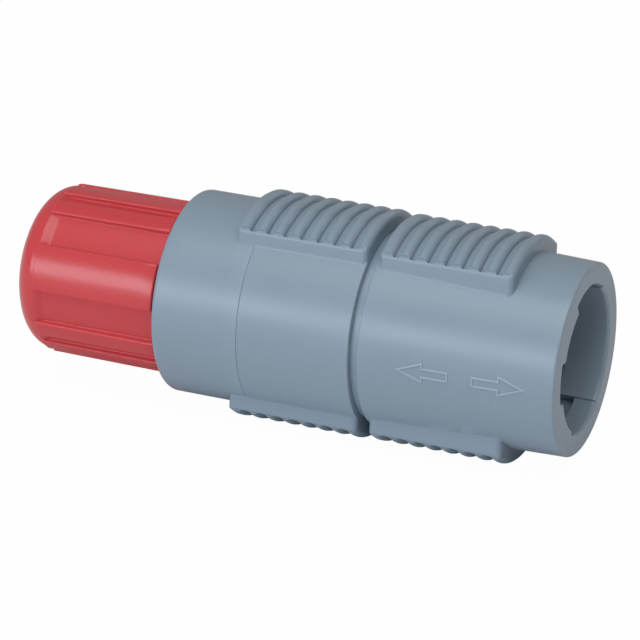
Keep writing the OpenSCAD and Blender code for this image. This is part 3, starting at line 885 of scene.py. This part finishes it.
# --- Contacts -------------------------------------------------------------------------------
# Ten turned socket contacts, gold over brass, held by their collars between the two blocks.
contact_count = 10
contact_finish = metal_finish("contact_gold_turned", (0.86, 0.60, 0.24), 0.22, 9000)
for number in range(1, contact_count + 1):
    coat_node("contact_%d" % number, contact_finish)

# --- Cable collet ---------------------------------------------------------------------------
# A springy collet in natural nylon. Its toothed fingers close on the cable when the nut's cone
# presses on them, and its key keeps it from turning in the barrel.
coat_node("cable_collet", moulded_finish("collet_nylon", (0.62, 0.60, 0.54), 0.38, drift=0.04))

# --- Collet nut -----------------------------------------------------------------------------
# The rear nut, moulded in red plastic: a threaded shank that screws into the barrel, twelve
# lands with grooves between them to grip by, and a domed end round the cable's hole.
shank_nose = -28.4
shank_r = 6.3
shank_bore_r = 4.97
thread_pitch = 1.0
thread_depth = 0.28
thread_groove_half = 0.30
thread_flank = 0.22
thread_start = 0.12
thread_lead_in = 0.3
thread_run_out = 0.5
cone_back = -40.4
cone_front = -42.9
cone_small_r = 4.07
nut_floor_r = 6.34
nut_front_r = 6.82
nut_rear_r = 6.75
nut_land_nose = -33.0
nut_land_tail = -43.3
nut_end = -45.6
land_soft = 0.14
foot_soft = 0.12
wide_land = 32
narrow_land = 13
land_pitch = 21.5
dome_shoulder_r = 6.58
groove_run = 0.9
groove_soft = 0.03
cable_hole_r = 3.0
hole_soft = 0.25
widest_column = 2.4
lands = [(165, wide_land), (345, wide_land)]
lands += [(middle + land_pitch * k, narrow_land)
          for middle in (75, 255) for k in (-2, -1, 0, 1, 2)]


def nut_columns():
    """Angles of the nut's columns, dense at each land's edges."""
    edge = np.degrees(np.array([-0.3, -0.12, -0.08, -0.045, -0.015, -0.002, 0.002, 0.02, 0.05,
                                0.09, 0.14, 0.3]) / nut_floor_r)
    turns = []
    for middle, span in lands:
        turns += list(middle - span / 2 + edge) + list(middle + span / 2 - edge)
        inside = span / 2 - edge[-1]
        turns += list(middle + np.linspace(-inside, inside, max(3, int(span / 3)))[1:-1])
    turns = np.sort(np.array(turns) % 360)
    gaps = np.diff(np.append(turns, turns[0] + 360))
    extra = [a + gap / 2 for a, gap in zip(turns, gaps) if gap > widest_column]
    return np.sort(np.concatenate([turns, np.array(extra) % 360]))


def land_lift(turns, height):
    """How far the lands stand out of the floor, with soft top edges and fillets at the foot."""
    lift = np.zeros(len(turns))
    for middle, span in lands:
        inside = np.radians(span / 2 - np.abs(turn_from(turns, middle))) * nut_floor_r
        top = height - land_soft + np.sqrt(np.maximum(
            land_soft ** 2 - (land_soft - np.clip(inside, 0, land_soft)) ** 2, 0))
        foot = foot_soft - np.sqrt(np.maximum(
            foot_soft ** 2 - (foot_soft + np.clip(inside, -foot_soft, 0)) ** 2, 0))
        lift = np.maximum(lift, np.where(inside > 0, top, np.where(inside > -foot_soft, foot, 0)))
    return np.minimum(lift, height)


nut_turns = nut_columns()


def nut_row(x, top_r):
    """A row over the lands, whose tops stand at top_r."""
    return ring_row(x, nut_floor_r + land_lift(nut_turns, top_r - nut_floor_r), nut_turns)


def thread_row(x):
    """A row of the shank's thread, which fades in at its nose and out before the lands."""
    lead_in = min(1.0, (shank_nose - x) / thread_lead_in)
    run_out = min(1.0, max(0.0, (x - nut_land_nose - thread_run_out) / thread_run_out))
    phase = (x / thread_pitch - nut_turns / 360) % 1.0
    groove = np.clip((thread_groove_half - np.abs(phase - 0.5)) / thread_flank, 0, 1)
    depth = thread_depth * (1 - (1 - groove) * lead_in) * run_out
    return ring_row(x, shank_r - depth, nut_turns)


nut_rows = [ring_row(shank_nose, r, nut_turns) for r in (shank_bore_r, shank_r - thread_depth)]
nut_rows += [thread_row(x) for x in np.arange(
    shank_nose - thread_start, nut_land_nose + thread_run_out, -thread_pitch / 10)]
nut_rows += [ring_row(nut_land_nose + front, shank_r, nut_turns) for front in (0.3, 0.02)]
nut_rows += [nut_row(nut_land_nose - back, nut_front_r - cut)
             for back, cut in ((0.0, 0.14), (0.02, 0.08), (0.06, 0.03), (0.12, 0.0))]
for share in (0.1, 0.25, 0.4, 0.55, 0.7, 0.85):
    nut_rows.append(nut_row(nut_land_nose + (nut_land_tail - nut_land_nose) * share,
                            nut_front_r + (nut_rear_r - nut_front_r) * share))
for share in np.linspace(0, 1, 12):
    floor = nut_floor_r + (dome_shoulder_r - nut_floor_r) * share * share * (3 - 2 * share)
    row = nut_row(nut_land_tail + groove_run * (1 - share),
                  nut_rear_r - (groove_soft if share == 1 else 0))
    row[:, 1] = soft_max(row[:, 1], floor, groove_soft)
    nut_rows.append(row)
for share in np.sin(np.radians(np.linspace(0, 90, 20))):
    r = cable_hole_r + hole_soft + (
        dome_shoulder_r - cable_hole_r - hole_soft) * math.sqrt(1 - share ** 2)
    nut_rows.append(ring_row(nut_land_tail + (nut_end - nut_land_tail) * share, r, nut_turns))
nut_rows += [ring_row(x, r, nut_turns) for x, r in (
    (nut_end + 0.04, cable_hole_r + 0.08), (nut_end + 0.15, cable_hole_r),
    (cone_front, cable_hole_r), (cone_front, cone_small_r), (cone_back, shank_bore_r),
    (shank_nose - 0.5, shank_bore_r))]
nut_skin = skin_mesh("collet_nut_skin", nut_rows)
# The nut's sharp edges get a stronger painted highlight than the grey shells.
nut_skin.data.materials.append(moulded_finish(
    "nut_red", (0.56, 0.048, 0.055), 0.23, drift=0.04, depth=0.003, edge_highlight=0.3,
    gloss_spread=0.1))
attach(nut_skin, "nut")
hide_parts("collet_nut")
